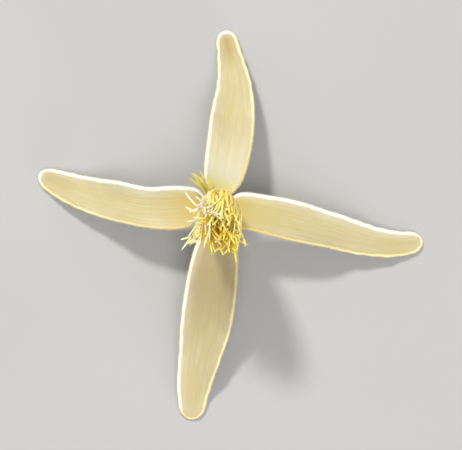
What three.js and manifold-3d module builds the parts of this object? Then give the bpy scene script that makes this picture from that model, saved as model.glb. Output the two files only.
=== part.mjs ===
// A clematis flower, picked with its own stalk and lying face up: four narrow cream sepals that droop
// to the surface and carry the flower on their tips, a tall brush of stamens round a few styles, and
// the stalk curving down under the front sepal. Millimetres, +Z up, +X right, +Y to the back.
// The origin is on the surface, under the middle of the flower's outline.
import * as THREE from "three";
import { mergeVertices } from "three/addons/utils/BufferGeometryUtils.js";
import Module from "manifold-3d";

const wasm = await Module();
wasm.setup();

// Driving dimensions
const HEART = { x: -1.37, y: 1.5 }; // the flower's axis, from the middle of its outline
const SEPAL_SEAT = 6.4; // height of the sepals' bases over the surface
const SEPAL_START = 1.5; // radius at which a sepal leaves the receptacle
const SEPAL_BASE = 1.15; // half width of a sepal where it leaves the receptacle
const SEPAL_THICKNESS = 0.6;
const SEPAL_CUP = 0.55; // how far a sepal's margins rise over its middle
const SEPAL_WAVE = { height: 0.25, count: 2.5 }; // the waves along a sepal's margins
const RECEPTACLE = { radius: 1.3, top: 6.9, flare: 1.5, rim: 0.6 };
const STALK_RADIUS = 0.55;
const STALK_GROOVE = 0.07; // depth of the grooves between the stalk's six ribs
const SEAT_GAP = 0.15; // between a piece and what carries it
const BRUSH_HEIGHT = 11; // from the receptacle to the stamens' tips, about
const LEAN = { x: 0.1, y: -2.2 }; // sideways shift of the brush at that height

// The four sepals in plan, from the flower's axis: [x, y, half width] from base to tip. A sepal with
// fall above 1 stays high for longer, roll turns it about its length in degrees, and phases are
// where the waves of its two margins start, in waves.
const SEPALS = {
  sepal_back: {
    fall: 1.08,
    roll: -5,
    phases: [0.1, 0.55],
    plan: [
      [0.05, SEPAL_START, SEPAL_BASE],
      [0.3, 2.7, 1.78],
      [0.7, 4.1, 2.17],
      [1.3, 7.3, 2.36],
      [1.65, 10.7, 2.18],
      [1.68, 13.5, 1.72],
      [1.3, 16.0, 1.32],
      [0.7, 18.9, 1.02],
    ],
  },
  sepal_left: {
    fall: 1.0,
    roll: 7,
    phases: [0.3, 0.9],
    plan: [
      [-SEPAL_START, 0.3, SEPAL_BASE],
      [-2.6, 0.5, 1.9],
      [-4.1, 0.3, 2.24],
      [-7.3, 0.29, 2.13],
      [-10.5, 0.9, 2.06],
      [-13.6, 1.68, 1.82],
      [-16.4, 2.7, 1.44],
      [-18.8, 3.85, 0.9],
    ],
  },
  sepal_right: {
    fall: 0.95,
    roll: -7,
    phases: [0.7, 0.2],
    plan: [
      [SEPAL_START, 0.1, SEPAL_BASE],
      [2.6, 0.0, 1.8],
      [4.5, -0.33, 1.98],
      [8.0, -1.13, 2.1],
      [11.5, -2.04, 1.89],
      [15.0, -3.0, 1.65],
      [18.2, -3.48, 1.4],
      [21.5, -3.25, 1.0],
    ],
  },
  sepal_front: {
    fall: 1.12,
    roll: 4,
    phases: [0.45, 0.0],
    plan: [
      [-0.05, -SEPAL_START, SEPAL_BASE],
      [-0.1, -2.7, 1.8],
      [-0.25, -4.7, 2.36],
      [-0.7, -8.2, 2.68],
      [-1.22, -11.9, 2.62],
      [-1.9, -15.2, 2.2],
      [-2.55, -18.6, 1.72],
      [-2.8, -21.9, 1.15],
    ],
  },
};
const TIP_SINK = 0.05; // how far a sepal's tip is pressed flat by the surface
const TIP_ROUND = 1.2; // length over which a sepal's tip rounds off
const TIP_LEAST = 0.3; // share of the half width left at the very tip
const SEPAL_STEPS = { along: 20, across: 8, crowding: 0.4 }; // crowding shortens the steps at the tip

// The stalk's centre line, from the cut end up to the receptacle.
const STALK_PATH = [
  [-1.5, -14.4, 0.56],
  [-1.2, -11.0, 0.57],
  [-0.85, -7.6, 0.8],
  [-0.45, -4.3, 1.65],
  [-0.15, -1.8, 3.1],
  [-0.02, -0.4, 4.7],
  [0, 0, 5.9],
  [0, 0, RECEPTACLE.top],
];
const STALK_STEPS = { along: 26, around: 12 };

// Whorls of stamens from the outside in. A stamen leaves the base ring at radius, splayed by splay
// degrees from the upright, straightens up along its body, and curls out by curl degrees at its tip.
const WHORLS = [
  { count: 22, radius: 1.12, splay: 18, body: 9.2, tip: 1.9, curl: 98 },
  { count: 18, radius: 1.02, splay: 14, body: 9.7, tip: 1.9, curl: 80 },
  { count: 13, radius: 0.92, splay: 9, body: 10, tip: 1.8, curl: 55 },
];
// The sides on which tips reach out: bearing and half width in degrees, and share of the curl.
const REACHES = [
  [132, 16, 0.9],
  [178, 14, 0.9],
  [214, 26, 1],
  [268, 32, 0.5],
  [312, 16, 1],
];
const INWARD = 16; // degrees by which the other tips lean in
const STAMEN = { root: 0.4, wide: 0.6, thick: 0.44, tip: 0.36, end: 0.24 };
const CURL_START = 0.9; // share of the body at which the curl sets in
const STAMEN_STEPS = { body: 5, tip: 5 };
const STAMEN_RING = { inner: 0.7, outer: 1.35, height: 0.5, sides: 24 };
const ROOT_DEPTH = 0.35; // how deep a stamen or style is sunk in what it grows from
const WHORL_TURN = 0.37; // how far a whorl is turned against the one outside it, in stamens
// The most that one stamen strays from its whorl: bearing in stamens, body in millimetres, tip as a
// share, curl and splay in degrees, and drift sideways in radians.
const STRAY = { bearing: 0.25, body: 0.5, tip: 0.15, curl: 25, splay: 2.5, drift: 0.25 };
// A few stamens hang out between the back and left sepals: bearing, slope and length.
const STRAGGLERS = [
  [112, 58, 4.1],
  [121, 70, 4],
  [131, 62, 3.2],
];
const STRAGGLER = { bend: 22, steps: 6, thick: 0.36, end: 0.26 };

// Styles in the middle, one upright and the rest round it.
const STYLES = { around: 6, radius: 0.34, splay: 1.5, height: 9.2, stray: 0.06, thick: 0.3, end: 0.2 };
const STYLE_STEPS = 5;
const PISTIL_BASE = { radius: 0.52, height: 1.3, taper: 0.6, sides: 12 };

const UP = new THREE.Vector3(0, 0, 1);
const radians = THREE.MathUtils.degToRad;
const mix = THREE.MathUtils.lerp;
const wrapped = THREE.MathUtils.euclideanModulo;

// A repeatable draw between -1 and 1 for each whole number.
function draw(n) {
  const s = Math.sin(n * 127.1 + 17.1) * 43758.5453;
  return 2 * (s - Math.floor(s)) - 1;
}

// Solids
function geometryOf(points, faces) {
  const geometry = new THREE.BufferGeometry();
  geometry.setAttribute("position", new THREE.Float32BufferAttribute(points, 3));
  geometry.setIndex(faces);
  return geometry;
}

function solidOf(geometry) {
  const bare = geometry.clone();
  bare.deleteAttribute("normal");
  bare.deleteAttribute("uv");
  const merged = mergeVertices(bare, 1e-4);
  return new wasm.Manifold(
    new wasm.Mesh({
      numProp: 3,
      vertProperties: merged.attributes.position.array,
      triVerts: new Uint32Array(merged.index.array),
    }),
  );
}

function geometryOfSolid(solid) {
  const mesh = solid.getMesh();
  return geometryOf(Array.from(mesh.vertProperties), Array.from(mesh.triVerts));
}

// The solids as one body, with any sealed hollow filled and any loose scrap dropped.
function fused(solids) {
  const whole = solids.reduce((sum, next) => sum.add(next));
  const bodies = whole.decompose().sort((a, b) => b.volume() - a.volume());
  return bodies[0];
}

// A closed turned solid from its half section, given as [radius, height] and standing on low.
function turned(profile, low, sides) {
  const points = profile.map(([radius, height]) => new THREE.Vector2(radius, low + height));
  return solidOf(new THREE.LatheGeometry(points, sides).rotateX(Math.PI / 2));
}

// A closed skin over rings of points, each ring counterclockwise as seen from the rings that follow.
function skin(rings) {
  const around = rings[0].length;
  const points = rings.flat().flatMap((p) => p.toArray());
  const faces = [];
  for (let i = 0; i + 1 < rings.length; i++)
    for (let j = 0; j < around; j++) {
      const [a, b] = [i * around + j, i * around + ((j + 1) % around)];
      faces.push(a, b, b + around, a, b + around, a + around);
    }
  for (const end of [0, rings.length - 1]) {
    const middle = rings[end].reduce((sum, p) => sum.add(p), new THREE.Vector3()).divideScalar(around);
    const centre = points.length / 3;
    points.push(...middle.toArray());
    for (let j = 0; j < around; j++) {
      const [a, b] = [end * around + j, end * around + ((j + 1) % around)];
      faces.push(...(end === 0 ? [b, a, centre] : [a, b, centre]));
    }
  }
  return geometryOf(points, faces);
}

// Sepals
// A point of a sepal's middle line, with the sepal's half width there. u runs from base to tip.
function sepalStation({ curve, fall }, u) {
  const { x, y, z: half } = curve.getPointAt(u);
  const foot = SEPAL_THICKNESS / 2 - TIP_SINK;
  const height = mix(foot, SEPAL_SEAT, 0.5 * (1 + Math.cos(Math.PI * u ** fall)));
  const past = Math.max(0, 1 - ((1 - u) * curve.getLength()) / TIP_ROUND);
  const rounding = Math.max(TIP_LEAST, Math.sqrt(1 - past * past));
  return { centre: new THREE.Vector3(x, y, height), half: half * rounding };
}

function sepal({ plan, fall, roll, phases }) {
  const { along, across, crowding } = SEPAL_STEPS;
  const shape = { curve: new THREE.CatmullRomCurve3(plan.map((p) => new THREE.Vector3(...p))), fall };
  const rings = [];
  for (let i = 0; i <= along; i++) {
    const u = mix(i / along, Math.sin(((Math.PI / 2) * i) / along), crowding);
    const { centre, half } = sepalStation(shape, u);
    const near = 0.01;
    const ahead = sepalStation(shape, Math.min(1, u + near)).centre;
    const behind = sepalStation(shape, Math.max(0, u - near)).centre;
    const tangent = ahead.sub(behind).normalize();
    const swell = Math.sin(Math.PI * u);
    const side = new THREE.Vector3()
      .crossVectors(tangent, UP)
      .normalize()
      .applyAxisAngle(tangent, radians(roll) * swell);
    const normal = new THREE.Vector3().crossVectors(side, tangent);
    const at = (v, face) => {
      const phase = phases[v < 0 ? 0 : 1];
      const wave = SEPAL_WAVE.height * Math.sin(2 * Math.PI * (SEPAL_WAVE.count * u + phase));
      const lift = (SEPAL_CUP + wave) * swell * v * v;
      return centre
        .clone()
        .addScaledVector(side, half * v)
        .addScaledVector(normal, lift + (face * SEPAL_THICKNESS) / 2);
    };
    const row = [];
    for (let j = 0; j <= across; j++) row.push(at((2 * j) / across - 1, 1));
    for (let j = across; j >= 0; j--) row.push(at((2 * j) / across - 1, -1));
    rings.push(row);
  }
  return blade(rings);
}

// A closed thin blade. Each ring runs over the upper face and back under the lower one, and both
// faces and both ends are split into triangles alike.
function blade(rings) {
  const around = rings[0].length;
  const upper = around / 2;
  const faces = [];
  for (let i = 0; i + 1 < rings.length; i++)
    for (let j = 0; j < around; j++) {
      const [a, b] = [i * around + j, i * around + ((j + 1) % around)];
      if (j < upper) faces.push(a, b, b + around, a, b + around, a + around);
      else faces.push(a, b, a + around, b, b + around, a + around);
    }
  for (let j = 0; j + 1 < upper; j++) {
    const [a, b, c, d] = [j, j + 1, around - 2 - j, around - 1 - j];
    const end = (rings.length - 1) * around;
    faces.push(a, d, c, a, c, b);
    faces.push(end + a, end + c, end + d, end + a, end + b, end + c);
  }
  return geometryOf(rings.flat().flatMap((p) => p.toArray()), faces);
}

// The surface presses a sepal's tip flat: what would lie below it is cut away.
function restedOnSurface(geometry) {
  const room = new THREE.BoxGeometry(100, 100, 50).translate(0, 0, 25);
  return geometryOfSolid(solidOf(geometry).intersect(solidOf(room)));
}

// Stalk and receptacle
function stalk() {
  const path = new THREE.CatmullRomCurve3(STALK_PATH.map((p) => new THREE.Vector3(...p)));
  const { along, around } = STALK_STEPS;
  const rings = [];
  for (let i = 0; i <= along; i++) {
    const centre = path.getPointAt(i / along);
    const tangent = path.getTangentAt(i / along);
    const side = new THREE.Vector3(1, 0, 0).addScaledVector(tangent, -tangent.x).normalize();
    const back = new THREE.Vector3().crossVectors(tangent, side);
    const { radius, top, flare, rim } = RECEPTACLE;
    const widening = THREE.MathUtils.smoothstep(centre.z, top - flare, top - rim);
    const ring = [];
    for (let j = 0; j < around; j++) {
      const turn = (2 * Math.PI * j) / around;
      const ribbed = STALK_RADIUS - (j % 2) * STALK_GROOVE;
      const reach = mix(ribbed, radius, widening);
      ring.push(
        centre
          .clone()
          .addScaledVector(side, reach * Math.cos(turn))
          .addScaledVector(back, reach * Math.sin(turn)),
      );
    }
    rings.push(ring);
  }
  return skin(rings);
}

// Stamens and styles
// A thread that starts at radius on a bearing and turns outwards along its length. slopeAt gives its
// slope from the upright in degrees, sizeAt its [width, thickness], both at a distance along it.
function thread({ bearing, radius, foot, steps, slopeAt, sizeAt, drift = 0 }) {
  const length = steps[steps.length - 1];
  const rings = [];
  const position = new THREE.Vector2(radius, foot);
  let reached = 0;
  for (const distance of steps) {
    const slope = radians(slopeAt((reached + distance) / 2));
    position.x += Math.sin(slope) * (distance - reached);
    position.y += Math.cos(slope) * (distance - reached);
    reached = distance;
    const towards = bearing + (drift * distance) / length;
    const out = new THREE.Vector3(Math.cos(towards), Math.sin(towards), 0);
    const across = new THREE.Vector3(-out.y, out.x, 0);
    const here = radians(slopeAt(distance));
    const face = out.clone().multiplyScalar(Math.cos(here)).addScaledVector(UP, -Math.sin(here));
    const height = position.y;
    const leaning = (height / BRUSH_HEIGHT) ** 2;
    const centre = out.clone().multiplyScalar(position.x);
    centre.x += LEAN.x * leaning;
    centre.y += LEAN.y * leaning;
    centre.z += RECEPTACLE.top + SEAT_GAP + height;
    const [wide, thick] = sizeAt(distance);
    rings.push([
      centre.clone().addScaledVector(face, thick / 2),
      centre.clone().addScaledVector(across, wide / 2),
      centre.clone().addScaledVector(face, -thick / 2),
      centre.clone().addScaledVector(across, -wide / 2),
    ]);
  }
  return solidOf(skin(rings));
}

// The share of its curl that a tip on this bearing has.
function reach(bearing) {
  const shares = REACHES.map(([middle, width, share]) => {
    const away = wrapped(bearing - radians(middle) + Math.PI, 2 * Math.PI) - Math.PI;
    return share * Math.exp(-((away / radians(width)) ** 2));
  });
  return Math.max(...shares);
}

function stamen(whorl, w, k) {
  const stray = (kind, most) => most * draw(100 * w + k + 1000 * kind);
  const bearing = (2 * Math.PI * (k + WHORL_TURN * w + stray(0, STRAY.bearing))) / whorl.count;
  const body = whorl.body + stray(1, STRAY.body);
  const tip = whorl.tip * (1 + stray(2, STRAY.tip));
  const curl = (whorl.curl + INWARD + stray(3, STRAY.curl)) * reach(bearing) - INWARD;
  const splay = whorl.splay + stray(4, STRAY.splay);
  const steps = [0];
  for (let i = 1; i <= STAMEN_STEPS.body; i++) steps.push((body * i) / STAMEN_STEPS.body);
  for (let i = 1; i <= STAMEN_STEPS.tip; i++) steps.push(body + (tip * i) / STAMEN_STEPS.tip);
  const slopeAt = (d) => {
    const from = CURL_START * body;
    const straight = Math.max(0, 1 - d / body) ** 2;
    return splay * straight + curl * Math.max(0, (d - from) / (body + tip - from));
  };
  const sizeAt = (d) => {
    if (d > body) return Array(2).fill(mix(STAMEN.tip, STAMEN.end, (d - body) / tip));
    const open = Math.sin(Math.PI * mix(0.12, 0.92, d / body));
    return [mix(STAMEN.root, STAMEN.wide, open), mix(STAMEN.root, STAMEN.thick, open)];
  };
  const foot = STAMEN_RING.height - ROOT_DEPTH;
  const drift = stray(5, STRAY.drift);
  return thread({ bearing, radius: whorl.radius, foot, steps, slopeAt, sizeAt, drift });
}

function straggler([bearing, slope, length]) {
  const { bend, steps, thick, end } = STRAGGLER;
  return thread({
    bearing: radians(bearing),
    radius: WHORLS[0].radius,
    foot: STAMEN_RING.height - ROOT_DEPTH,
    steps: Array.from({ length: steps + 1 }, (_, i) => (length * i) / steps),
    slopeAt: (d) => slope + bend * ((2 * d) / length - 1),
    sizeAt: (d) => Array(2).fill(mix(thick, end, d / length)),
  });
}

function stamens() {
  const { inner, outer, height, sides } = STAMEN_RING;
  const section = [
    [inner, 0],
    [outer, 0],
    [outer, height],
    [inner, height],
    [inner, 0],
  ];
  const solids = [turned(section, RECEPTACLE.top + SEAT_GAP, sides)];
  WHORLS.forEach((whorl, w) => {
    for (let k = 0; k < whorl.count; k++) solids.push(stamen(whorl, w, k));
  });
  solids.push(...STRAGGLERS.map(straggler));
  return geometryOfSolid(fused(solids));
}

function style(k) {
  const length = STYLES.height * (1 + STYLES.stray * draw(k));
  const steps = Array.from({ length: STYLE_STEPS + 1 }, (_, i) => (length * i) / STYLE_STEPS);
  const middle = k === STYLES.around;
  return thread({
    bearing: (2 * Math.PI * k) / STYLES.around,
    radius: middle ? 0 : STYLES.radius,
    foot: PISTIL_BASE.height - 2 * ROOT_DEPTH,
    steps,
    slopeAt: () => (middle ? 0 : STYLES.splay),
    sizeAt: (d) => Array(2).fill(mix(STYLES.thick, STYLES.end, d / length)),
  });
}

function pistils() {
  const { radius, height, taper, sides } = PISTIL_BASE;
  const section = [
    [0, 0],
    [radius, 0],
    [radius, taper * height],
    [taper * radius, height],
    [0, height],
  ];
  const solids = [turned(section, RECEPTACLE.top + SEAT_GAP, sides)];
  for (let k = 0; k <= STYLES.around; k++) solids.push(style(k));
  return geometryOfSolid(fused(solids));
}

// Materials
const MATERIALS = {
  sepal: new THREE.MeshStandardMaterial({ color: 0xd4c89b, roughness: 0.55, metalness: 0 }),
  stamen: new THREE.MeshStandardMaterial({ color: 0xd8bd5c, roughness: 0.6, metalness: 0 }),
  style: new THREE.MeshStandardMaterial({ color: 0xa9a455, roughness: 0.6, metalness: 0 }),
  stalk: new THREE.MeshStandardMaterial({ color: 0x95992f, roughness: 0.55, metalness: 0 }),
};

// The flower
const flower = new THREE.Group();
flower.position.set(HEART.x, HEART.y, 0);

function add(name, geometry, material) {
  const mesh = new THREE.Mesh(geometry, material);
  mesh.name = name;
  flower.add(mesh);
}

for (const [name, shape] of Object.entries(SEPALS))
  add(name, restedOnSurface(sepal(shape)), MATERIALS.sepal);
add("stalk", stalk(), MATERIALS.stalk);
add("stamens", stamens(), MATERIALS.stamen);
add("pistils", pistils(), MATERIALS.style);

const part = new THREE.Group();
part.add(flower);
export default part;
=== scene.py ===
# A picked clematis flower, lying face up on a pale floor and seen from straight above.
# The flower's lengths are millimetres until a mesh is made, its places are about its own axis, and
# every random draw comes from one seeded generator, so that each run gives the same flower.
import math

import bpy
import numpy as np
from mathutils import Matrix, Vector


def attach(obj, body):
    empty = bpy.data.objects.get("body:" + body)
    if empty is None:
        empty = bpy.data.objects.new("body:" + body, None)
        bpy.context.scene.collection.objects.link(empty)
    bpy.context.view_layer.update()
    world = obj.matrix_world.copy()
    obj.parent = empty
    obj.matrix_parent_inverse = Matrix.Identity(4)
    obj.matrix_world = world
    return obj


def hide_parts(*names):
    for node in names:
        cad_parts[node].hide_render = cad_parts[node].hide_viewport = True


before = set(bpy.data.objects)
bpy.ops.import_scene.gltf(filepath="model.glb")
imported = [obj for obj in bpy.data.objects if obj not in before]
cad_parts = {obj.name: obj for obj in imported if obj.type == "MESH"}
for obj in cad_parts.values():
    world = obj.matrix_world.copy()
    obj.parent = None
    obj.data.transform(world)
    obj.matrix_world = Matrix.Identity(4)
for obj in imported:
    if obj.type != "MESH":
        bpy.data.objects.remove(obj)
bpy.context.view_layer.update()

MM = 0.001
TURN = 2 * math.pi
UP = np.array([0.0, 0.0, 1.0])
rng = np.random.default_rng(33)

# Driving dimensions, the same as the solids have. Only the right sepal's plan differs: its base is
# squarer here.
HEART = np.array([-1.37, 1.5, 0.0])  # the flower's axis, from the middle of its outline
SEPAL_SEAT = 6.4  # height of the sepals' bases over the surface
SEPAL_START = 1.5  # radius at which a sepal leaves the receptacle
SEPAL_BASE = 1.15  # half width there
SEPAL_CUP = 0.55  # how far the margins rise over the middle
SEPAL_WAVE = {"height": 0.25, "count": 2.5}  # the waves along the margins
TIP_ROUND = 1.2  # length over which a sepal's tip rounds off
RECEPTACLE = {"radius": 1.3, "top": 6.9, "flare": 1.5, "rim": 0.6}
STALK_RADIUS = 0.55

# The four sepals. A plan lists x, y and half width from base to tip. A sepal with fall above 1 stays
# high for longer, roll turns it about its length in degrees, phases are where the waves of its two
# margins start, in waves, and crinkle is the height of its crinkles. Its first colour is laid over its
# lower part and is painted light and shade: a painted highlight on the back sepal, a painted golden
# glow from the stamens on the left one, that glow with painted shade on the right one and the brush's
# painted shadow on the front one. It fades out over two shares of the length with the farther one
# first. Foot is the colour at its very base, partly the sepal's own yellow-green throat and partly
# painted shade and glow from the brush, and dull_tip how much duller its tip is.
SEPALS = {
    "sepal_back": {
        "fall": 1.08,
        "roll": -5,
        "phases": (0.1, 0.55),
        "crinkle": 0.02,
        "painted_base_light": (196, 195, 172),
        "painted_base_light_reach": (0.42, 0.1),
        "foot": (206, 200, 98),
        "dull_tip": 0.95,
        "plan": [
            (0.05, SEPAL_START, SEPAL_BASE),
            (0.3, 2.7, 1.78),
            (0.7, 4.1, 2.17),
            (1.3, 7.3, 2.36),
            (1.65, 10.7, 2.18),
            (1.68, 13.5, 1.72),
            (1.3, 16.0, 1.32),
            (0.7, 18.9, 1.02),
        ],
    },
    "sepal_left": {
        "fall": 1.0,
        "roll": 7,
        "phases": (0.3, 0.9),
        "crinkle": 0.012,
        "painted_base_light": (192, 172, 98),
        "painted_base_light_reach": (0.3, 0.06),
        "foot": (196, 168, 62),
        "dull_tip": 0.45,
        "plan": [
            (-SEPAL_START, 0.3, SEPAL_BASE),
            (-2.6, 0.5, 1.9),
            (-4.1, 0.3, 2.24),
            (-7.3, 0.29, 2.13),
            (-10.5, 0.9, 2.06),
            (-13.6, 1.68, 1.82),
            (-16.4, 2.7, 1.44),
            (-18.8, 3.85, 0.9),
        ],
    },
    "sepal_right": {
        "fall": 0.95,
        "roll": -7,
        "phases": (0.7, 0.2),
        "crinkle": 0.02,
        "painted_base_light": (184, 171, 112),
        "painted_base_light_reach": (0.36, 0.08),
        "foot": (186, 167, 92),
        "dull_tip": 0.3,
        "plan": [
            (SEPAL_START, 0.1, 1.32),
            (1.95, 0.08, 1.7),
            (2.7, 0.0, 1.9),
            (4.5, -0.33, 1.98),
            (8.0, -1.13, 2.1),
            (11.5, -2.04, 1.89),
            (15.0, -3.0, 1.65),
            (18.2, -3.48, 1.4),
            (21.5, -3.25, 1.0),
        ],
    },
    "sepal_front": {
        "fall": 1.12,
        "roll": 4,
        "phases": (0.45, 0.0),
        "crinkle": 0.009,
        "painted_base_light": (154, 139, 100),
        "painted_base_light_reach": (0.73, 0.24),
        "foot": (150, 130, 60),
        "dull_tip": 0.25,
        "plan": [
            (-0.05, -SEPAL_START, SEPAL_BASE),
            (-0.1, -2.7, 1.8),
            (-0.25, -4.7, 2.36),
            (-0.7, -8.2, 2.68),
            (-1.22, -11.9, 2.62),
            (-1.9, -15.2, 2.2),
            (-2.55, -18.6, 1.72),
            (-2.8, -21.9, 1.15),
        ],
    },
}
# The stalk's centre line, from the cut end up to the receptacle
STALK_PATH = [
    (-1.5, -14.4, 0.56),
    (-1.2, -11.0, 0.57),
    (-0.85, -7.6, 0.8),
    (-0.45, -4.3, 1.65),
    (-0.15, -1.8, 3.1),
    (-0.02, -0.4, 4.7),
    (0, 0, 5.9),
    (0, 0, RECEPTACLE["top"]),
]

# Stamens in whorls from the outside in. Splay, curl and inward are degrees: the spread at the foot,
# the curl of a tip that curls out and the lean of one that doesn't. Body and tip are their lengths.
WHORLS = [
    {"count": 37, "radius": 1.12, "splay": 18, "body": 9.2, "tip": 1.9, "curl": 98, "inward": 10},
    {"count": 34, "radius": 1.05, "splay": 13, "body": 9.7, "tip": 1.9, "curl": 80, "inward": 12},
    {"count": 29, "radius": 0.97, "splay": 8, "body": 9.9, "tip": 1.8, "curl": 60, "inward": 14},
    {"count": 23, "radius": 0.9, "splay": 3, "body": 9.9, "tip": 1.8, "curl": 50, "inward": 14},
    {"count": 16, "radius": 0.82, "splay": -2, "body": 9.8, "tip": 1.7, "curl": 36, "inward": 10},
]
WHORL_TURN = 0.37  # how far a whorl is turned against the one outside it, in stamens
BRUSH_HEIGHT = 11
LEAN = np.array([0.1, -1.35])  # sideways shift of the brush at that height
SWEEP = np.array([0.1, -1.0])  # how much farther the stamens' tips bend that way
SWEEP_DROP = 0.3  # how much lower that makes them
CURL_START = 0.86  # share of the body at which the curl sets in
# Bearings and widths, in degrees, of the sides on which tips curl out, and shares of the curl
REACHES = [(125, 13, 1.0), (158, 11, 1.0), (203, 17, 1.0), (262, 34, 0.15), (317, 15, 1.0)]
# The same bearings and widths of the sides where strands are palest, broadest and deepest gold.
# Palest is painted light on the side toward the key lamp, deepest gold painted shade on the side away.
PAINTED_LIT_STRANDS, BROAD_STRANDS, PAINTED_SHADE_STRANDS = (142, 55), (75, 42), (270, 50)
BROAD_SPLAY = 11  # degrees added to the outer whorl's splay on the broad side
BROAD_GREEN = 0.15  # how green strands are there
# At a strand's foot, added by its belly, at the start of its tip and taken off along the tip
STRAND_WIDTH = {"foot": 0.23, "belly": 0.14, "broad_belly": 0.08, "tip": 0.28, "taper": 0.1}
STRAND_THICKNESS = {"foot": 0.2, "belly": 0.07, "tip": 0.24, "taper": 0.07}
STRAND_STEPS = {"body": 16, "tip": 12, "around": 10}
# The most that a strand strays from its whorl: bearing in strands, tip and width as shares, curl and
# splay in degrees, and the sideways drift of its tip and of all of it
STRAY = {
    "bearing": 0.32,
    "body": 0.6,
    "tip": 0.2,
    "curl": 25,
    "splay": 2.5,
    "radius": 0.08,
    "width": 0.15,
    "tip_drift": 1.1,
    "drift": 0.8,
    "twist": 0.6,
}
# Parts of a strand's shade: a random one, and what the outer whorl and the sides add or take off.
# What the pale side adds is painted light and what the gold side takes off is painted shade; the inner
# whorls' deeper gold is partly painted shade in the gaps between strands.
SHADE = {"random": 0.5, "outer": 0.5, "pale": 0.85, "gold": 0.35}
# A tuft of fine strands that hang out between two sepals, with ranges of bearing, splay and length
STRAGGLERS = {"count": 16, "bearing": (112, 124), "splay": (48, 72), "length": (2.2, 4.0)}
STRAGGLER = {"bend": 22, "droop": 50, "thin": 0.14, "belly": 0.09, "steps": 18}
# Styles in the middle, one upright and a ring round it. Lean is in degrees.
STYLES = {"ring": 9, "radius": 0.38, "lean": 1.4, "length": 10.9, "width": 0.28}
STYLE_STEPS = {"along": 15, "around": 8}

# The finer surface of sepals and stalk
BASE_TUCK = 0.3  # how far a sepal reaches on, past its start and into the receptacle
SEPAL_THICKNESS = 0.36
SEPAL_RIM = {"swell": 0.6, "width": 0.26}  # the margin is thicker by this share, over this width
SEPAL_ROUNDING = 12  # the higher, the squarer a sepal's margin
SEPAL_STEPS = {"along": 120, "tip": 12, "across": 68}
RIDGES = [(13, 0.004), (29, 0.002)]  # counts across a sepal and heights of its fine ridges
VEIN_GAP = 0.34  # between the veins, as a share of the half width
VEINS = {"places": (-0.66, -VEIN_GAP, 0.0, VEIN_GAP, 0.66), "width": 0.07, "depth": 0.012}
CRINKLES = {"count": 13, "slow_count": 7.7, "start": 0.5, "end": 0.97}  # along a sepal's outer half
DIMPLES = {"count": 6, "height": 0.035}
STALK_RIBS = {"count": 6, "depth": 0.08}
STALK_STEPS = {"along": 150, "around": 36}
# Rings of the stalk's cut end: share of its length, share of its radius, sink and how cut it is
CUT_END = [(0.0, 0.3, 0.05, 1.0), (0.0, 0.62, 0.03, 0.6), (0.0, 0.9, 0.0, 0.25), (0.001, 1.0, 0.0, 0.0)]

# Hairs
KNEE = {"place": 0.55, "radius": 0.75, "bend": 0.3}  # shares of a hair's length, radius and bend
HAIR_POINTS = 7  # in each hair
# Direction of painted light, not a lamp: wool and rims on margins that face this way are painted white,
# those facing away golden
PAINTED_LIGHT_DIRECTION = np.array([-0.3, 0.95, 0.0])  # margins that face this way have the whitest wool
WOOL = {
    "margin": 4000,
    "margin_length": (0.08, 0.22),
    "margin_band": 0.24,
    "back": 1500,
    "back_length": (0.15, 0.35),
    "radius": 0.008,
}
SILK = {"each": 60, "length": (0.4, 0.8), "radius": 0.012}  # on the styles
STALK_HAIRS = {"count": 1100, "length": (0.1, 0.24), "radius": 0.012}

# The stage, in metres and watts. Each lamp faces the origin.
FLOOR = {"size": 3.0, "drop": 0.00001}
SKY = {"colour": (246, 243, 238), "strength": 0.46}
LAMPS = {
    "key": {"place": (-0.15, 0.31, 0.42), "size": 0.07, "power": 2.35, "colour": (255, 250, 240)},
    "fill": {"place": (0.06, -0.16, 0.56), "size": 0.4, "power": 1.84, "colour": (250, 249, 250)},
    "side": {"place": (0.3, -0.42, 0.12), "size": 0.22, "power": 0.9, "colour": (255, 250, 240)},
}
CAMERA = {"height": 0.6, "view": 0.0485, "sensor": 36, "clip": (0.01, 10)}


# Curves and skins
def curve_through(points, samples=40):
    """A smooth curve through the points, as a function of the share of its length, and that length.
    Shares below 0 go straight on beyond the first point."""
    p = np.array(points, float)
    p = np.concatenate([[2 * p[0] - p[1]], p, [2 * p[-1] - p[-2]]])
    gaps = np.sqrt(np.linalg.norm(np.diff(p, axis=0), axis=1))[:, None]
    t = np.linspace(0, 1, samples, endpoint=False)[:, None]
    dense = []
    for a, b, c, d, before, gap, after in zip(p, p[1:], p[2:], p[3:], gaps, gaps[1:], gaps[2:]):
        leave = gap * ((b - a) / before - (c - a) / (before + gap) + (c - b) / gap)
        reach = gap * ((c - b) / gap - (d - b) / (gap + after) + (d - c) / after)
        dense.append(
            b
            + leave * t
            + (3 * (c - b) - 2 * leave - reach) * t**2
            + (2 * (b - c) + leave + reach) * t**3
        )
    dense = np.concatenate([*dense, p[-2:-1]])
    way = np.concatenate([[0], np.cumsum(np.linalg.norm(np.diff(dense, axis=0), axis=1))])
    first_step = (dense[1] - dense[0]) / way[1]

    def at(share):
        distance = share * way[-1]
        inside = np.stack([np.interp(distance, way, column) for column in dense.T], axis=-1)
        return inside + np.minimum(distance, 0)[..., None] * first_step

    return at, way[-1]


def unit(v):
    return v / np.linalg.norm(v, axis=-1, keepdims=True)


def smooth(x):
    x = np.clip(x, 0, 1)
    return x * x * (3 - 2 * x)


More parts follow.
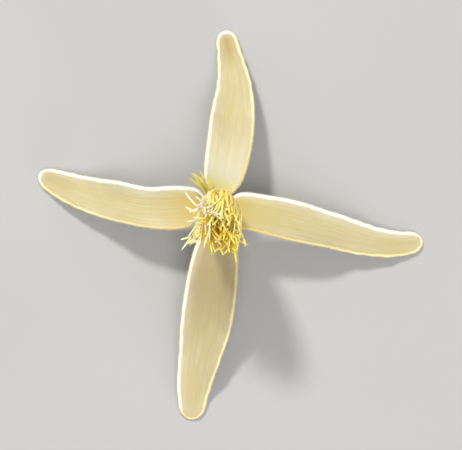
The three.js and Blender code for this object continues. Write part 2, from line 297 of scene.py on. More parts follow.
def skin(rings):
    """Points and faces of a closed skin over rings of points, with a point in the middle of each end."""
    count, around = rings.shape[:2]
    points = np.concatenate([rings.reshape(-1, 3), rings[[0, -1]].mean(axis=1)])
    i, j = np.mgrid[: count - 1, :around]
    a, b = i * around + j, i * around + (j + 1) % around
    quads = np.stack([a, b, b + around, a + around], axis=-1).reshape(-1, 4)
    j = np.arange(around)
    k, end = (j + 1) % around, (count - 1) * around
    first = np.stack([k, j, np.full(around, count * around)], axis=-1)
    last = np.stack([end + j, end + k, np.full(around, count * around + 1)], axis=-1)
    return points, [*quads.tolist(), *first.tolist(), *last.tolist()]


def spread(values, around):
    """One value for each ring, spread over the points that skin makes."""
    return np.concatenate([np.repeat(values, around), [values[0], values[-1]]])


def needles(roots, ways, lengths, radius, bends):
    """Points and faces of many closed three-sided hairs. Each bends sideways by its own bend."""
    count = len(roots)
    ways = unit(ways)
    across = unit(np.cross(ways, rng.normal(size=(count, 3))))
    beyond = np.cross(ways, across)
    angles = np.arange(3) * TURN / 3
    ring = across[:, None] * np.cos(angles)[:, None] + beyond[:, None] * np.sin(angles)[:, None]
    lengths = lengths[:, None, None]
    foot = roots[:, None] + radius * ring
    knee = roots[:, None] + KNEE["place"] * lengths * ways[:, None] + KNEE["radius"] * radius * ring
    knee = knee + KNEE["bend"] * bends[:, None]
    tip = roots[:, None] + lengths * ways[:, None] + bends[:, None]
    points = np.concatenate([foot, knee, tip], axis=1).reshape(-1, 3)
    plan = [(2, 1, 0), (0, 1, 4, 3), (1, 2, 5, 4), (2, 0, 3, 5), (3, 4, 6), (4, 5, 6), (5, 3, 6)]
    faces = [tuple(HAIR_POINTS * n + corner for corner in face) for n in range(count) for face in plan]
    return points, faces


def hair_values(pale):
    """The values of hairs, from one number for each hair: the share of painted light that it takes."""
    return {"pale_side": np.repeat(pale, HAIR_POINTS)}


def joined(parts):
    """Several (points, faces, values) as one, with values a dictionary of one number for each point."""
    points = np.concatenate([p for p, _, _ in parts])
    faces, start = [], 0
    for p, f, _ in parts:
        faces += [tuple(corner + start for corner in face) for face in f]
        start += len(p)
    values = {name: np.concatenate([v[name] for _, _, v in parts]) for name in parts[0][2]}
    return points, faces, values


def piece(name, points, faces, values, material):
    """A piece of the flower from points about its axis."""
    points = points + HEART
    points[:, 2] = np.maximum(points[:, 2], 0.0)
    mesh = bpy.data.meshes.new(name)
    mesh.from_pydata((points * MM).tolist(), [], faces)
    mesh.polygons.foreach_set("use_smooth", [True] * len(mesh.polygons))
    for key, numbers in values.items():
        mesh.attributes.new(key, "FLOAT", "POINT").data.foreach_set("value", np.asarray(numbers, "f"))
    mesh.materials.append(material)
    mesh.update()
    made = bpy.data.objects.new(name, mesh)
    bpy.context.scene.collection.objects.link(made)
    return made


# Materials
def srgb(red, green, blue):
    """A colour as seen on a screen, 0 to 255, as the linear colour that a shader takes."""
    share = np.array([red, green, blue]) / 255
    return (*np.where(share < 0.04045, share / 12.92, ((share + 0.055) / 1.055) ** 2.4), 1.0)


class Shader:
    """A material with one Principled shader, and short names for the nodes that feed it."""

    def __init__(self, name, **settings):
        self.material = bpy.data.materials.new(name)
        self.material.use_nodes = True
        self.tree = self.material.node_tree
        self.surface = self.tree.nodes["Principled BSDF"]
        for socket, value in settings.items():
            self.surface.inputs[socket.replace("_", " ")].default_value = value

    def node(self, kind, inputs, output=0, **settings):
        made = self.tree.nodes.new("ShaderNode" + kind)
        for key, value in settings.items():
            setattr(made, key, value)
        for key, value in inputs.items():
            self.feed(made.inputs[key], value)
        return made.outputs[output]

    def feed(self, socket, value):
        if isinstance(value, bpy.types.NodeSocket):
            self.tree.links.new(value, socket)
        else:
            socket.default_value = value

    def value(self, name):
        """A piece's own number at each point."""
        return self.node("Attribute", {}, output=2, attribute_name=name)

    def place(self):
        return self.node("TexCoord", {}, output=3)

    def maths(self, operation, a, b=0.0):
        return self.node("Math", {0: a, 1: b}, operation=operation)

    def times(self, a, b):
        return self.maths("MULTIPLY", a, b)

    def plus(self, a, b):
        return self.maths("ADD", a, b)

    def between(self, value, low, high, to_low=0.0, to_high=1.0):
        """value's place between low and high, eased and held at both ends."""
        inputs = {"Value": value, "From Min": low, "From Max": high, "To Min": to_low, "To Max": to_high}
        return self.node("MapRange", inputs, interpolation_type="SMOOTHSTEP")

    def noise(self, vector, scale, detail=3.0, roughness=0.6):
        inputs = {"Vector": vector, "Scale": scale, "Detail": detail, "Roughness": roughness}
        return self.node("TexNoise", inputs)

    def grain(self, x, y, z, scale, low=0.3, high=0.7, detail=3.0):
        """Noise stretched over three numbers, from 0 to 1."""
        where = self.node("CombineXYZ", {0: x, 1: y, 2: z})
        return self.between(self.noise(where, scale, detail), low, high)

    def mix(self, share, a, b):
        inputs = {0: share, 6: a, 7: b}
        return self.node("Mix", inputs, output=2, data_type="RGBA", clamp_factor=True)

    def layers(self, colour, *over):
        """A colour with layers over it, each a share and another colour."""
        for share, layer in over:
            colour = self.mix(share, colour, layer)
        return colour

    def finish(self, colour, roughness, height, depth):
        """depth is the height of the bumps in millimetres."""
        self.feed(self.surface.inputs["Base Color"], colour)
        self.feed(self.surface.inputs["Roughness"], roughness)
        bump = self.node("Bump", {"Height": height, "Distance": depth * MM, "Strength": 1.0})
        self.feed(self.surface.inputs["Normal"], bump)
        return self.material


def sepal_material(name, shape, seed):
    """Cream, with fine streaks from base to tip and a pale woolly rim. The rim is painted light: white,
    wider and with a painted highlight inside it on margins that face the pale side, golden on the
    others. The tints over each sepal's base are painted light and shade.
    """
    s = Shader(
        name,
        Subsurface_Weight=0.2,
        Subsurface_Radius=(1.0, 0.75, 0.35),
        Subsurface_Scale=0.25 * MM,
        Specular_IOR_Level=0.4,
        Sheen_Weight=0.1,
        Sheen_Roughness=0.5,
    )
    along, across, rim, under = s.value("along"), s.value("across"), s.value("rim"), s.value("under")
    pale_side = s.value("pale_side")
    streaks = s.grain(s.times(along, 2.6), s.times(across, 5.0), seed, 2.0, detail=4.0)
    pink = s.grain(s.times(along, 4.0), s.times(across, 3.0), seed + 9.0, 1.7, low=0.42, high=0.68)
    threads = s.grain(s.times(along, 7.0), s.times(across, 30.0), seed, 1.5, low=0.35, high=0.65)
    clouds = s.grain(s.times(along, 5.0), s.times(across, 1.4), seed, 2.6)
    veins = s.maths("ABSOLUTE", s.maths("SINE", s.times(across, math.pi / VEIN_GAP)))
    veins = s.between(veins, 0.0, 0.3, 1.0, 0.0)

    # Painted light on the rim: a highlight just inside it and a wider white band where the margin faces
    # the pale side, a golden band where it faces away
    painted_rim_highlight = s.times(s.between(rim, 1.3, 0.3), s.times(pale_side, s.between(clouds, 0.0, 1.0, 0.35, 0.7)))
    inward = s.plus(rim, s.plus(s.times(clouds, 0.1), s.times(pale_side, -0.17)))
    tan = s.mix(s.between(along, 0.15, 0.6), srgb(214, 190, 128), srgb(236, 222, 168))
    woolly = s.mix(s.between(pale_side, 0.25, 0.95), tan, srgb(250, 248, 238))
    colour = s.layers(
        s.mix(streaks, srgb(194, 187, 146), srgb(186, 173, 121)),
        (s.times(pink, 0.45), srgb(191, 173, 141)),
        (s.times(threads, 0.2), srgb(201, 195, 167)),
        (s.times(clouds, 0.35), srgb(184, 172, 130)),
        (s.times(veins, 0.15), srgb(172, 161, 106)),
        # Painted light and shade over the sepal's lower part, and at its foot its own throat colour with
        # painted shade and glow from the brush
        (s.between(along, *shape["painted_base_light_reach"], 0.0, 0.85), srgb(*shape["painted_base_light"])),
        (s.between(along, 0.68, 0.92, 0.0, shape["dull_tip"]), srgb(170, 150, 96)),
        (s.between(along, 0.145, 0.04, 0.0, 0.75), srgb(*shape["foot"])),
        (s.times(under, s.between(along, 0.6, 0.0, 0.15, 0.5)), srgb(192, 185, 134)),
        (painted_rim_highlight, srgb(208, 206, 190)),
        (s.between(inward, 0.36, 0.16), woolly),
    )
    roughness = s.between(threads, 0.0, 1.0, 0.4, 0.55)
    return s.finish(colour, roughness, s.plus(s.times(threads, 0.5), s.times(streaks, 0.5)), 0.012)


def wool_material():
    """Golden to white hairs, whitest on the margins that face the pale side: painted light there, and
    painted shade, golden, on the margins that face away.
    """
    s = Shader("wool", Subsurface_Weight=0.2, Subsurface_Scale=0.1 * MM, Sheen_Weight=0.2)
    shade = s.between(s.noise(s.place(), 900.0), 0.35, 0.65)
    # Painted light and shade: white toward the painted light's side, golden away from it
    colour = s.mix(s.value("pale_side"), srgb(224, 208, 156), srgb(250, 248, 238))
    return s.finish(s.mix(s.times(shade, 0.5), colour, srgb(244, 234, 200)), 0.6, shade, 0.01)


def stamen_material():
    """Yellow-green at the foot, gold along the body and cream at the tip. Shade makes a strand paler,
    from below 0 for deep gold to 1.6 for white, and green makes it greener. The near white at high shade
    is a painted highlight and the deep gold at low shade painted shade. A weak glow stands for the light
    that passes through such thin strands."""
    s = Shader(
        "stamen",
        Subsurface_Weight=0.8,
        Subsurface_Radius=(0.8, 0.7, 0.12),
        Subsurface_Scale=0.5 * MM,
        Specular_IOR_Level=0.5,
    )
    along, edge, shade, green = s.value("along"), s.value("edge"), s.value("shade"), s.value("green")
    grain = s.grain(s.times(along, 9.0), s.times(edge, 3.0), s.times(shade, 40.0), 2.0)
    # The pale and near-white layers at high shade are painted highlight, the deep gold at low shade
    # painted shade
    high = s.layers(
        s.mix(s.between(shade, 0.1, 0.9), srgb(251, 199, 54), srgb(255, 234, 136)),
        (s.between(shade, 0.9, 1.4), srgb(255, 246, 200)),
        (s.between(shade, 1.1, 1.6), srgb(255, 253, 246)),
        (s.times(grain, 0.35), srgb(250, 200, 70)),
        (s.between(shade, 0.25, -0.2, 0.0, 0.85), srgb(198, 162, 46)),
    )
    low = s.layers(
        s.mix(s.between(shade, 0.2, 0.9), srgb(255, 206, 84), srgb(255, 233, 152)),
        (s.times(grain, 0.35), srgb(251, 206, 88)),
    )
    body = s.mix(s.between(along, 0.45, 0.66), low, high)
    # Tips at low shade are darkened with painted shade
    tip = s.layers(
        s.mix(s.between(shade, 0.2, 1.3), srgb(254, 226, 104), srgb(255, 252, 228)),
        (s.between(shade, 0.35, -0.15, 0.0, 0.8), srgb(206, 178, 62)),
    )
    colour = s.layers(
        s.mix(s.between(along, 0.0, 0.22), srgb(224, 214, 92), body),
        (s.between(along, 0.84, 0.97, 0.0, 0.9), tip),
        (s.between(edge, 0.6, 1.0, 0.0, 0.25), srgb(255, 244, 180)),
        (green, srgb(208, 205, 122)),
    )
    glow = s.times(s.between(along, 1.0, 0.75, 0.0, 0.12), s.between(shade, -0.1, 0.8, 0.3, 1.0))
    light = s.mix(s.between(along, 0.45, 0.7), srgb(240, 240, 190), srgb(224, 200, 70))
    s.feed(s.surface.inputs["Emission Color"], light)
    s.feed(s.surface.inputs["Emission Strength"], s.times(glow, s.maths("SUBTRACT", 1.0, green)))
    return s.finish(colour, s.between(grain, 0.0, 1.0, 0.3, 0.46), grain, 0.02)


def style_material():
    """Greenish yellow, paler to the top."""
    s = Shader("style", Subsurface_Weight=0.15, Subsurface_Scale=0.15 * MM)
    grain = s.between(s.noise(s.place(), 1400.0), 0.35, 0.65)
    colour = s.mix(s.value("along"), srgb(206, 190, 74), srgb(240, 224, 112))
    colour = s.mix(s.times(grain, 0.4), colour, srgb(200, 176, 60))
    return s.finish(colour, 0.5, grain, 0.02)


def stalk_material():
    """Yellow-green, paler on the ribs, with a pale ring and a darker pith where it is cut."""
    s = Shader("stalk", Subsurface_Weight=0.12, Subsurface_Scale=0.2 * MM, Specular_IOR_Level=0.4)
    along, rib, cut = s.value("along"), s.value("rib"), s.value("cut")
    grain = s.grain(s.times(along, 60.0), s.times(rib, 3.0), 0.0, 2.0)
    blotch = s.between(s.noise(s.place(), 260.0), 0.4, 0.7)
    face = s.mix(s.between(cut, 0.45, 0.7), srgb(222, 220, 156), srgb(168, 160, 90))
    colour = s.layers(
        s.mix(rib, srgb(184, 196, 44), srgb(226, 230, 96)),
        (s.times(grain, 0.35), srgb(196, 202, 52)),
        (s.times(blotch, 0.3), srgb(196, 182, 70)),
        (s.between(along, 0.85, 1.0), srgb(214, 212, 122)),
        (s.between(cut, 0.05, 0.2), face),
    )
    return s.finish(colour, s.between(grain, 0.0, 1.0, 0.42, 0.6), grain, 0.03)


def floor_material():
    s = Shader("floor", Specular_IOR_Level=0.2)
    tone = s.between(s.noise(s.place(), 14.0), 0.3, 0.7)
    return s.finish(s.mix(tone, srgb(172, 173, 175), srgb(175, 176, 178)), 0.85, tone, 0.01)


# Sepals
def sepal_frame(shape, u):
    """The middle line, half width, axes and swell of a sepal at each share u of its length."""
    at, length = curve_through(shape["plan"])

    def centre(u):
        x, y, _ = at(u).T
        high = 0.5 * (1 + np.cos(math.pi * np.maximum(u, 0) ** shape["fall"]))
        foot = SEPAL_THICKNESS / 2
        return np.stack([x, y, foot + (SEPAL_SEAT - foot) * high], axis=-1)

    past = np.clip(1 - (1 - u) * length / TIP_ROUND, 0, 1)
    step = 0.01
    tangent = unit(centre(np.minimum(1, u + step)) - centre(u - step))
    swell = np.sin(math.pi * np.maximum(u, 0))
    flat = unit(np.cross(tangent, UP))
    turn = (np.radians(shape["roll"]) * swell)[:, None]
    side = flat * np.cos(turn) + np.cross(tangent, flat) * np.sin(turn)
    return {
        "centre": centre(u),
        "half": at(u)[:, 2] * np.sqrt(1 - past**2),
        "tangent": tangent,
        "side": side,
        "normal": np.cross(side, tangent),
        "swell": swell,
        "length": length,
    }


def sepal_points(shape, u, v, face):
    """Points of a sepal at shares u of its length and v of its half width, with face 1 above and
    -1 below, the frame there and the distance in from the margin. u, v and face are equally long."""
    f = sepal_frame(shape, u)
    phases = np.where(v < 0, *shape["phases"])
    wave = SEPAL_WAVE["height"] * np.sin(TURN * (SEPAL_WAVE["count"] * u + phases))
    lift = (SEPAL_CUP + wave) * f["swell"] * v**2
    for k in range(DIMPLES["count"]):
        along, across = 2 + 1.7 * k, 1.3 + (2.1 * k) % 3
        ripple = np.sin(TURN * (along * u + phases) + shape["roll"]) * np.sin(across * v + k)
        lift = lift + DIMPLES["height"] * ripple * f["swell"] * np.abs(v)
    crinkle = np.sin(TURN * (CRINKLES["count"] * u + 3 * phases))
    crinkle = crinkle + 0.5 * np.sin(TURN * CRINKLES["slow_count"] * u)
    outer = smooth((u - CRINKLES["start"]) / 0.2) * smooth((CRINKLES["end"] - u) / 0.06)
    crinkle = shape["crinkle"] * crinkle * outer
    half = f["half"] * (1 + crinkle)
    lift = lift + 0.9 * crinkle * np.abs(v) ** 3
    rim = (1 - np.abs(v)) * f["half"]
    bead = 1 + SEPAL_RIM["swell"] * np.exp(-((rim / SEPAL_RIM["width"]) ** 2))
    thin = np.clip(f["half"] / 0.8, 0.3, 1)
    thick = SEPAL_THICKNESS / 2 * bead * thin * np.sqrt(np.clip(1 - np.abs(v) ** SEPAL_ROUNDING, 0, 1))
    ridges = sum(high * np.sin(math.pi * count * v + 2 * np.sin(5 * u)) for count, high in RIDGES)
    ridges = ridges * (1 - np.abs(v) ** 6)
    veins = sum(np.exp(-(((v - place) / VEINS["width"]) ** 2)) for place in VEINS["places"])
    offset = lift + face * (thick + ridges) - VEINS["depth"] * veins * f["swell"]
    points = f["centre"] + (half * v)[:, None] * f["side"] + offset[:, None] * f["normal"]
    return points, f, rim


def pale_side(f, u, v):
    """From 0 to 1, how far a sepal's margin faces the side of the painted light, at shares u of its
    length and v of its half width. Margins that face it are painted lit, the others painted in shade."""
    tip = smooth((u - 0.93) / 0.07)
    facing = v * (f["side"] @ PAINTED_LIGHT_DIRECTION) * (1 - tip) + (f["tangent"] @ PAINTED_LIGHT_DIRECTION) * tip
    return 0.5 + 0.5 * facing


def sepal(name, shape, material):
    """A sepal's blade, in rings round its length, closer together at the round tip."""
    steps = SEPAL_STEPS
    length = curve_through(shape["plan"])[1]
    round_share = TIP_ROUND / length
    straight = np.linspace(-BASE_TUCK / length, 1 - round_share, steps["along"])
    bend = np.sin(np.linspace(0, 0.985 * math.pi / 2, steps["tip"] + 1)[1:])
    u = np.concatenate([straight, 1 - round_share * (1 - bend)])
    w = np.linspace(-1, 1, steps["across"] + 1)
    v = 0.4 * w + 0.6 * np.sin(w * math.pi / 2)
    loop_v = np.concatenate([v, v[-2:0:-1]])
    loop_face = np.concatenate([np.ones(len(v)), -np.ones(len(v) - 2)])
    around = len(loop_v)
    all_u, all_v, all_face = np.repeat(u, around), np.tile(loop_v, len(u)), np.tile(loop_face, len(u))
    points, f, rim = sepal_points(shape, all_u, all_v, all_face)
    points, faces = skin(points.reshape(len(u), around, 3))
    rim = np.minimum(rim, (1 - all_u) * f["length"] + 0.02)
    # Share of painted light at each point, from the way its margin faces
    pale = pale_side(f, all_u, all_v)
    values = {
        "along": spread(u, around),
        "across": np.concatenate([all_v, [0, 0]]),
        "rim": np.concatenate([rim, [1, 0]]),
        "under": np.concatenate([(1 - all_face) / 2, [0, 0]]),
        "pale_side": np.concatenate([pale, [0.5, pale[-1]]]),
    }
    made = piece(name + "_blade", points, faces, values, material)
    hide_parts(name)
    return made


def sepal_wool(name, shape, material):
    """Short wool all along a sepal's margin, and longer hairs lying along its back."""
    count = WOOL["margin"]
    u = rng.uniform(0.04, 0.995, count)
    depth = WOOL["margin_band"] * rng.uniform(0, 1, count) ** 2
    half = sepal_frame(shape, u)["half"]
    v = rng.choice([-1, 1], count) * np.clip(1 - depth / np.maximum(half, 0.3), 0, 1)
    roots, f, _ = sepal_points(shape, u, v, rng.choice([-1, 1], count))
    tip = np.clip((u - 0.94) / 0.05, 0, 1)[:, None]
    ways = (
        f["side"] * np.sign(v)[:, None] * (0.7 - 0.4 * tip)
        + f["tangent"] * (rng.normal(0.2, 0.7, (count, 1)) + tip)
        + f["normal"] * rng.normal(0.1, 0.6, (count, 1))
    )
    lengths = rng.uniform(*WOOL["margin_length"], count)
    edge = needles(roots, ways, lengths, WOOL["radius"], 0.05 * rng.normal(size=(count, 3)))
    # Share of painted light for each margin hair
    edge_painted_light = pale_side(f, u, v)

    count = WOOL["back"]
    u, v = rng.uniform(0.03, 0.97, count), rng.uniform(-0.9, 0.9, count)
    roots, f, _ = sepal_points(shape, u, v, -np.ones(count))
    ways = f["tangent"] - 0.3 * f["normal"] + 0.3 * rng.normal(size=(count, 3))
    lengths = rng.uniform(*WOOL["back_length"], count)
    back = needles(roots, ways, lengths, WOOL["radius"], 0.04 * rng.normal(size=(count, 3)))
    hairs = joined([(*edge, hair_values(edge_painted_light)), (*back, hair_values(np.full(count, 0.5)))])
    return piece(name + "_wool", *hairs, material)


# Stamens and styles
def strand_path(radius, foot, body, tip, splay, curl):
    """Distance from the axis, height, slope and distance along, for a strand that straightens up
    along its body and curls out at its tip."""
    along_body = np.linspace(0, body, STRAND_STEPS["body"] + 1)
    way = np.concatenate([along_body, body + np.linspace(0, tip, STRAND_STEPS["tip"] + 1)[1:]])
    start = CURL_START * body

    def slope(d):
        straight = np.clip(1 - d / body, 0, 1) ** 2
        return np.radians(splay * straight + curl * np.clip((d - start) / (body + tip - start), 0, 1))

    middle = slope((way[1:] + way[:-1]) / 2)
    step = np.diff(way)
    out = radius + np.concatenate([[0], np.cumsum(np.sin(middle) * step)])
    height = foot + np.concatenate([[0], np.cumsum(np.cos(middle) * step)])
    return out, height, slope(way), way


def strand(bearing, path, wide, thick, drift, twist, around=STRAND_STEPS["around"], sweep=0.0):
    """A grooved ribbon along a path that leaves the flower's axis on a bearing and drifts sideways.
    sweep is the share of SWEEP at each point."""
    out, height, slope, _ = path
    share = np.linspace(0, 1, len(out))
    outward = np.array([math.cos(bearing), math.sin(bearing), 0])
    across = np.array([-math.sin(bearing), math.cos(bearing), 0])
    face = outward * np.cos(slope)[:, None] - UP * np.sin(slope)[:, None]
    turn = (twist * share)[:, None]
    side = across * np.cos(turn) + face * np.sin(turn)
    face = face * np.cos(turn) - across * np.sin(turn)
    centre = outward * out[:, None] + across * drift[:, None]
    centre = centre + UP * (RECEPTACLE["top"] + height)[:, None]
    sweep = (sweep * np.ones(len(out)))[:, None]
    centre[:, :2] += LEAN * (height[:, None] / BRUSH_HEIGHT) ** 2 + SWEEP * sweep
    centre[:, 2:] -= SWEEP_DROP * sweep
    angle = np.linspace(0, TURN, around, endpoint=False)
    x, y = np.cos(angle), np.sin(angle)
    y = y * (0.6 + 0.7 * x**2)
    rings = (
        centre[:, None]
        + (wide / 2)[:, None, None] * x[:, None] * side[:, None]
        - (thick / 2)[:, None, None] * y[:, None] * face[:, None]
    )
    points, faces = skin(rings)
    edge = np.concatenate([np.tile(np.abs(x), len(out)), [0, 0]])
    return points, faces, edge


def near(bearing, middle, width):
    """1 on the middle bearing, fading out over the width. Both are in degrees."""
    away = (math.degrees(bearing) - middle + 180) % 360 - 180
    return math.exp(-((away / width) ** 2))


def reach(bearing):
    """The share of its curl that a tip on this bearing has."""
    return max(share * near(bearing, middle, width) for middle, width, share in REACHES)


def stray(key):
    return rng.uniform(-STRAY[key], STRAY[key])


def strand_values(along, edge, shade, green):
    """The values of a strand's points. along has a number for each ring, edge has one for each point,
    and shade and green are the same all over."""
    return {
        "along": spread(along, STRAND_STEPS["around"]),
        "edge": edge,
        "shade": np.full(len(edge), shade),
        "green": np.full(len(edge), green),
    }


def stray_strand():
    """A strand of the tuft between two sepals, as points, faces and values."""
    bearing = rng.uniform(*STRAGGLERS["bearing"])
    splay = rng.uniform(*STRAGGLERS["splay"])
    length = rng.uniform(*STRAGGLERS["length"])
    way = np.linspace(0, length, STRAGGLER["steps"] + 1)
    share = way / length
    bend, droop = STRAGGLER["bend"], STRAGGLER["droop"]
    slope = np.radians(splay - bend + 2 * bend * share + droop * np.maximum(share - 0.6, 0))
    out = WHORLS[0]["radius"] + np.cumsum(np.sin(slope)) * way[1]
    path = (out, 0.1 + np.cumsum(np.cos(slope)) * way[1], slope, way)
    size = STRAGGLER["thin"] + STRAGGLER["belly"] * np.sin(math.pi * share)
    size = size * np.sqrt(1 - np.clip((share - 0.95) / 0.05, 0, 0.97) ** 2)
    drift = rng.uniform(-0.3, 0.3) * share + rng.uniform(-0.7, 0.7) * share**3
    points, faces, edge = strand(math.radians(bearing), path, size, 0.8 * size, drift, 0.6)
    return points, faces, strand_values(0.9 * share, edge, rng.uniform(0, 0.8), 0.75)


def whorl_strand(w, k):
    """Stamen k of whorl w, as points, faces and values."""
    whorl = WHORLS[w]
    outer = 1 - w / (len(WHORLS) - 1)
    bearing = TURN * (k + WHORL_TURN * w + stray("bearing")) / whorl["count"]
    out = reach(bearing)
    # Painted light on the pale side and painted shade on the gold side
    pale = near(bearing, *PAINTED_LIT_STRANDS) * (outer > 0)
    broad = near(bearing, *BROAD_STRANDS)
    gold = near(bearing, *PAINTED_SHADE_STRANDS)

    body = whorl["body"] + stray("body")
    tip = whorl["tip"] * (1 + stray("tip")) * (0.85 + 0.27 * out)
    curl = (whorl["curl"] + whorl["inward"] + stray("curl")) * out - whorl["inward"]
    splay = whorl["splay"] + BROAD_SPLAY * broad * outer + stray("splay")
    radius = whorl["radius"] + stray("radius")
    path = strand_path(radius, -0.1, body, tip, splay, curl)
    way = path[3]

    belly = np.sin(math.pi * np.clip(0.1 + 0.8 * way / body, 0, 1))
    past = np.clip((way - body) / tip, 0, 1)
    widest = (STRAND_WIDTH["belly"] + STRAND_WIDTH["broad_belly"] * broad) * (1 + stray("width"))
    wide, thick = (
        np.where(way <= body, plan["foot"] + most * belly, plan["tip"] - plan["taper"] * past)
        for plan, most in ((STRAND_WIDTH, widest), (STRAND_THICKNESS, STRAND_THICKNESS["belly"]))
    )
    rounding = np.sqrt(1 - np.clip((past - 0.92) / 0.08, 0, 0.97) ** 2)
    sway = rng.uniform(0.04, 0.18) * np.sin(way * rng.uniform(0.5, 1.1) + rng.uniform(0, 6))
    drift = sway * np.minimum(1, way / 2) + stray("tip_drift") * past**1.5
    drift = drift + stray("drift") * (way / way[-1]) ** 2
    sweep = (1 - 0.9 * out) * np.clip((way - 0.6 * body) / (tip + 0.4 * body), 0, 1) ** 2.4
    twist = stray("twist")
    points, faces, edge = strand(
        bearing, path, wide * rounding, thick * rounding, drift, twist, sweep=sweep
    )
    # Random tone, paler outer whorls with the inner ones partly painted shade in the gaps, painted light
    # on the pale side and painted shade on the gold side
    shade = rng.uniform(0, SHADE["random"]) + SHADE["outer"] * outer * (1 - 0.6 * broad)
    shade = shade + SHADE["pale"] * pale - SHADE["gold"] * gold * (1 + outer)
    return points, faces, strand_values(way / way[-1], edge, shade, BROAD_GREEN * broad)


def stamens(material):
    """The brush: the tuft of stray strands, and all whorls from the outside in."""
    parts = [stray_strand() for _ in range(STRAGGLERS["count"])]
    parts += [whorl_strand(w, k) for w, whorl in enumerate(WHORLS) for k in range(whorl["count"])]
    made = piece("stamen_brush", *joined(parts), material)
    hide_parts("stamens")
    return made


def pistils(material, wool):
    """The styles, and the silky hairs on them."""
    parts, roots, ways = [], [], []
    around = STYLE_STEPS["around"]
    for k in range(STYLES["ring"] + 1):
        upright = k == STYLES["ring"]
        bearing = TURN * k / STYLES["ring"]
        length = STYLES["length"] * rng.uniform(0.94, 1.02)
        way = np.linspace(0, length, STYLE_STEPS["along"] + 1)
        lean = 0 if upright else STYLES["lean"]
        out = (0 if upright else STYLES["radius"]) + way * math.tan(math.radians(lean))
        path = (out, way - 0.05, 0 * way, way)
        size = np.interp(way / length, [0, 0.12, 0.2, 0.9, 1], [1.2, 1.5, 0.9, 0.75, 0.35])
        size = STYLES["width"] * size
        drift = 0.12 * np.sin(0.7 * way + rng.uniform(0, 6)) * way / length
        points, faces, _ = strand(bearing, path, size, size, drift, 0.0, around)
        parts.append((points, faces, {"along": spread(way / length, around)}))
        roots.append(points[rng.integers(0, 11 * around, SILK["each"])])
        outward = np.array([math.cos(bearing), math.sin(bearing), 0])
        ways.append(UP * 1.6 + outward * 0.2 + 0.45 * rng.normal(size=(SILK["each"], 3)))
    made = piece("style_bundle", *joined(parts), material)
    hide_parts("pistils")
    roots, ways = np.concatenate(roots), np.concatenate(ways)
    count = len(roots)
    lengths = rng.uniform(*SILK["length"], count)
    silk = needles(roots, ways, lengths, SILK["radius"], 0.06 * rng.normal(size=(count, 3)))
    return made, piece("style_silk", *silk, hair_values(np.full(count, 0.5)), wool)


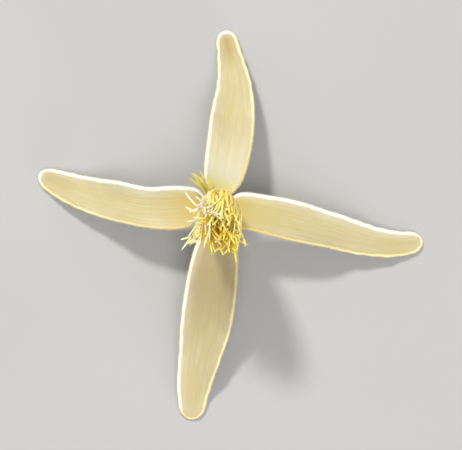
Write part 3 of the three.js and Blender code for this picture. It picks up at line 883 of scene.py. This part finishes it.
# Stalk
def stalk(material, wool):
    """The ribbed stalk, which widens into the receptacle, and the hairs on it."""
    at, _ = curve_through(STALK_PATH)
    steps, around = STALK_STEPS["along"], STALK_STEPS["around"]
    plain = [np.linspace(0.004, 1, steps), np.ones(steps), np.zeros(steps), np.zeros(steps)]
    share, shrink, sink, cut = np.concatenate([np.transpose(CUT_END), plain], axis=1)
    step = 0.004
    tangent = unit(at(np.minimum(1, share + step)) - at(np.maximum(0, share - step)))
    centre = at(share) + tangent * sink[:, None]
    side = unit(np.array([1.0, 0, 0]) - tangent[:, :1] * tangent)
    back = np.cross(tangent, side)
    low = RECEPTACLE["top"] - RECEPTACLE["flare"]
    widening = smooth((centre[:, 2] - low) / (RECEPTACLE["flare"] - RECEPTACLE["rim"]))[:, None]
    angle = np.linspace(0, TURN, around, endpoint=False)
    rib = 0.5 + 0.5 * np.cos(STALK_RIBS["count"] * angle)
    ribbed = STALK_RADIUS - STALK_RIBS["depth"] * (1 - rib)
    radius = (ribbed * (1 - widening) + RECEPTACLE["radius"] * widening) * shrink[:, None]
    rings = (
        centre[:, None]
        + (radius * np.cos(angle))[:, :, None] * side[:, None]
        + (radius * np.sin(angle))[:, :, None] * back[:, None]
    )
    points, faces = skin(rings)
    values = {
        "along": spread(share, around),
        "rib": np.concatenate([np.tile(rib, len(share)), [0, 0]]),
        "cut": spread(cut, around),
    }
    made = piece("stalk_ribbed", points, faces, values, material)
    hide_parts("stalk")

    count = STALK_HAIRS["count"]
    first, end = 6, len(share) - 12  # rings of the cut end and the receptacle's top have no hairs
    ring, turn = rng.integers(first, end, count), rng.integers(0, around, count)
    outward = side[ring] * np.cos(angle[turn])[:, None] + back[ring] * np.sin(angle[turn])[:, None]
    ways = outward + 0.4 * tangent[ring] + 0.3 * rng.normal(size=(count, 3))
    lengths = rng.uniform(*STALK_HAIRS["length"], count)
    bends = 0.04 * rng.normal(size=(count, 3))
    hairs = needles(rings[ring, turn], ways, lengths, STALK_HAIRS["radius"], bends)
    return made, piece("stalk_hairs", *hairs, hair_values(np.full(count, 0.5)), wool)


# Floor, lights and camera
def set_floor():
    bpy.ops.mesh.primitive_plane_add(size=FLOOR["size"], location=(0, 0, -FLOOR["drop"]))
    floor = bpy.context.object
    floor.name = "floor"
    floor.data.materials.append(floor_material())


def set_sky():
    world = bpy.data.worlds.new("studio")
    world.use_nodes = True
    background = world.node_tree.nodes["Background"]
    background.inputs["Color"].default_value = srgb(*SKY["colour"])
    background.inputs["Strength"].default_value = SKY["strength"]
    bpy.context.scene.world = world
    bpy.context.scene.view_settings.view_transform = "Standard"


def set_lamp(name, place, size, power, colour):
    data = bpy.data.lights.new(name, "AREA")
    data.shape = "DISK"
    data.size = size
    data.energy = power
    data.color = srgb(*colour)[:3]
    lamp = bpy.data.objects.new(name, data)
    lamp.location = place
    lamp.rotation_euler = (-Vector(place)).to_track_quat("-Z", "Y").to_euler()
    bpy.context.scene.collection.objects.link(lamp)


def set_camera():
    """Straight above the flower, as the photograph looks at its face."""
    data = bpy.data.cameras.new("camera")
    data.sensor_width = CAMERA["sensor"]
    data.lens = data.sensor_width * CAMERA["height"] / CAMERA["view"]
    data.clip_start, data.clip_end = CAMERA["clip"]
    camera = bpy.data.objects.new("camera", data)
    camera.location = (0, 0, CAMERA["height"])
    bpy.context.scene.collection.objects.link(camera)
    bpy.context.scene.camera = camera


set_camera()
set_floor()
set_sky()
for name, lamp in LAMPS.items():
    set_lamp(name, **lamp)

wool = wool_material()
for seed, (name, shape) in enumerate(SEPALS.items()):
    blade = sepal(name, shape, sepal_material(name, shape, 3.0 * seed))
    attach(blade, "root")
    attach(sepal_wool(name, shape, wool), "root")
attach(stamens(stamen_material()), "root")
for made in pistils(style_material(), wool):
    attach(made, "root")
for made in stalk(stalk_material(), wool):
    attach(made, "root")
